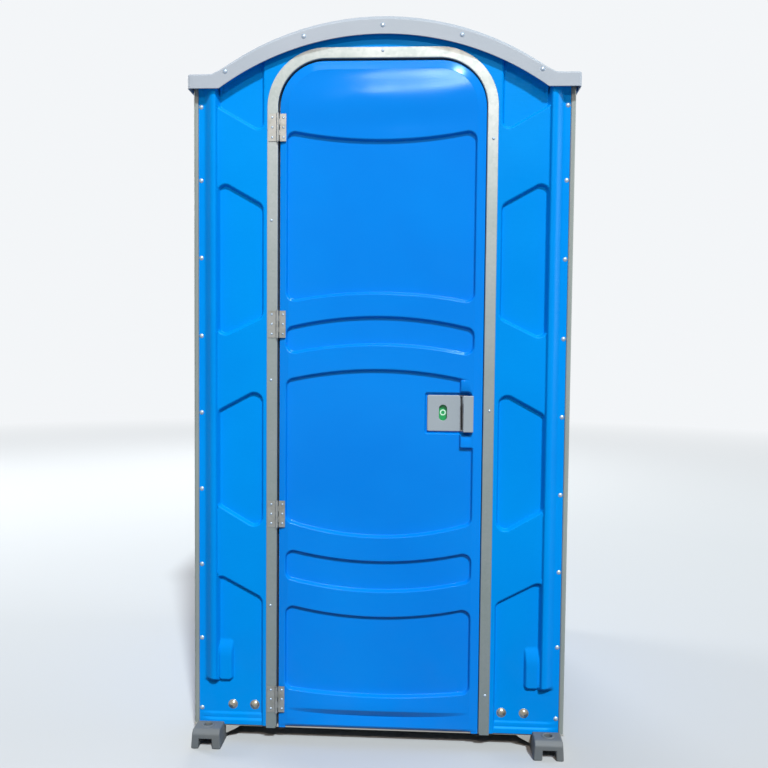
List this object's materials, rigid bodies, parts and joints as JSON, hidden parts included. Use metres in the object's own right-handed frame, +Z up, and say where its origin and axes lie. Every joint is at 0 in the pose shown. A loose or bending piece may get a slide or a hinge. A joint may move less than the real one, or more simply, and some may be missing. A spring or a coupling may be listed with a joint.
{
  "type": "portable toilet cabin",
  "caption": "Free-standing plastic toilet cabin on skids, with an arched hinged door, sliding occupancy latch, domed roof, tank, seat and urinal.",
  "frame": {"origin": "on the ground, under the middle of the cabin", "axes": "+Z up, the door faces -Y, +X to the right of someone who faces the door"},
  "size_m": [1.188, 1.29, 2.3097],
  "materials": {
    "wall_plastic": "moulded, light grain",
    "door_plastic": "moulded, smooth",
    "liner_plastic": "smooth sheet",
    "strip_plastic": "extruded, satin",
    "roof_plastic": "translucent, satin",
    "skid_plastic": "moulded, rough",
    "base_plastic": "moulded, satin",
    "tank_plastic": "moulded, satin",
    "seat_plastic": "moulded, polished",
    "pipe_plastic": "extruded",
    "latch_plastic": "cast, satin",
    "bolt_plastic": "moulded",
    "indicator": "green and red halves",
    "galvanised": "galvanised",
    "hinge_metal": "plated steel",
    "spring_steel": "drawn wire",
    "fasteners": "plated",
    "rivets": "satin",
    "jamb_plastic": "extruded",
    "screen": "perforated",
    "paper": "soft tissue"
  },
  "bodies": {
    "cabin": {"skid_left": "skid_plastic", "skid_right": "skid_plastic", "skid_gussets": "base_plastic", "cross_rails": "galvanised", "skid_bolts": "fasteners", "floor_pan": "base_plastic", "front_panel": "wall_plastic", "rear_panel": "wall_plastic", "side_panel_left": "wall_plastic", "side_panel_right": "wall_plastic", "corner_strip_front_left": "strip_plastic", "corner_strip_rear_left": "strip_plastic", "corner_strip_front_right": "strip_plastic", "corner_strip_rear_right": "strip_plastic", "front_rivets": "rivets", "rear_rivets": "rivets", "side_rivets": "rivets", "carriage_bolts": "fasteners", "vent_screen_left": "screen", "vent_screen_right": "screen", "jamb_trim": "galvanised", "jamb_screws": "rivets", "jamb_stop": "jamb_plastic", "strike_plate": "hinge_metal", "roof_shell": "roof_plastic", "roof_rivets": "rivets", "hinge_pins": "hinge_metal", "hinge_frame_rivets": "rivets", "waste_tank": "tank_plastic", "seat_hinge": "seat_plastic", "vent_pipe": "pipe_plastic", "vent_cap": "pipe_plastic", "urinal": "tank_plastic", "urinal_drain": "pipe_plastic", "paper_holder": "base_plastic", "anchor_rivets_wall": "rivets", "spring_anchor_wall": "hinge_metal", "door_spring": "spring_steel", "hinge_frame_leaf_1": "hinge_metal", "hinge_frame_leaf_2": "hinge_metal", "hinge_frame_leaf_3": "hinge_metal", "hinge_frame_leaf_4": "hinge_metal"},
    "door": {"door_body": "door_plastic", "door_liner": "liner_plastic", "hinge_door_rivets": "rivets", "latch_plate": "latch_plastic", "latch_pull": "latch_plastic", "latch_cover": "latch_plastic", "spring_anchor_door": "hinge_metal", "anchor_rivets_door": "rivets", "hinge_door_leaf_1": "hinge_metal", "hinge_door_leaf_2": "hinge_metal", "hinge_door_leaf_3": "hinge_metal", "hinge_door_leaf_4": "hinge_metal"},
    "latch": {"latch_bolt": "bolt_plastic", "indicator_slide": "indicator"},
    "seat": {"toilet_seat": "seat_plastic"},
    "lid": {"seat_lid": "seat_plastic"},
    "roll_1": {"paper_roll_1": "paper"},
    "roll_2": {"paper_roll_2": "paper"}
  },
  "joints": [
    {"name": "door_hinge", "type": "hinge", "parent": "cabin", "child": "door", "pos_m": [-0.318, -0.5911, 1.08], "axis": [0, 0, -1], "range_deg": [0, 110], "stiffness_Nm_per_rad": 4, "springref_deg": -22.92, "deforming": ["door_spring"]},
    {"name": "latch_slide", "type": "slide", "parent": "door", "child": "latch", "axis": [1, 0, 0], "range_m": [0, 0.026]},
    {"name": "seat_swing", "type": "hinge", "parent": "cabin", "child": "seat", "pos_m": [0, 0.478, 0.5], "axis": [-1, 0, 0], "range_deg": [0, 92]},
    {"name": "lid_swing", "type": "hinge", "parent": "cabin", "child": "lid", "pos_m": [0, 0.478, 0.5], "axis": [-1, 0, 0], "range_deg": [-98, 0]},
    {"name": "roll_1_spin", "type": "hinge", "parent": "cabin", "child": "roll_1", "pos_m": [0.5, -0.141, 0.76], "axis": [0, 1, 0], "continuous": true},
    {"name": "roll_2_spin", "type": "hinge", "parent": "cabin", "child": "roll_2", "pos_m": [0.5, -0.039, 0.76], "axis": [0, 1, 0], "continuous": true}
  ]
}
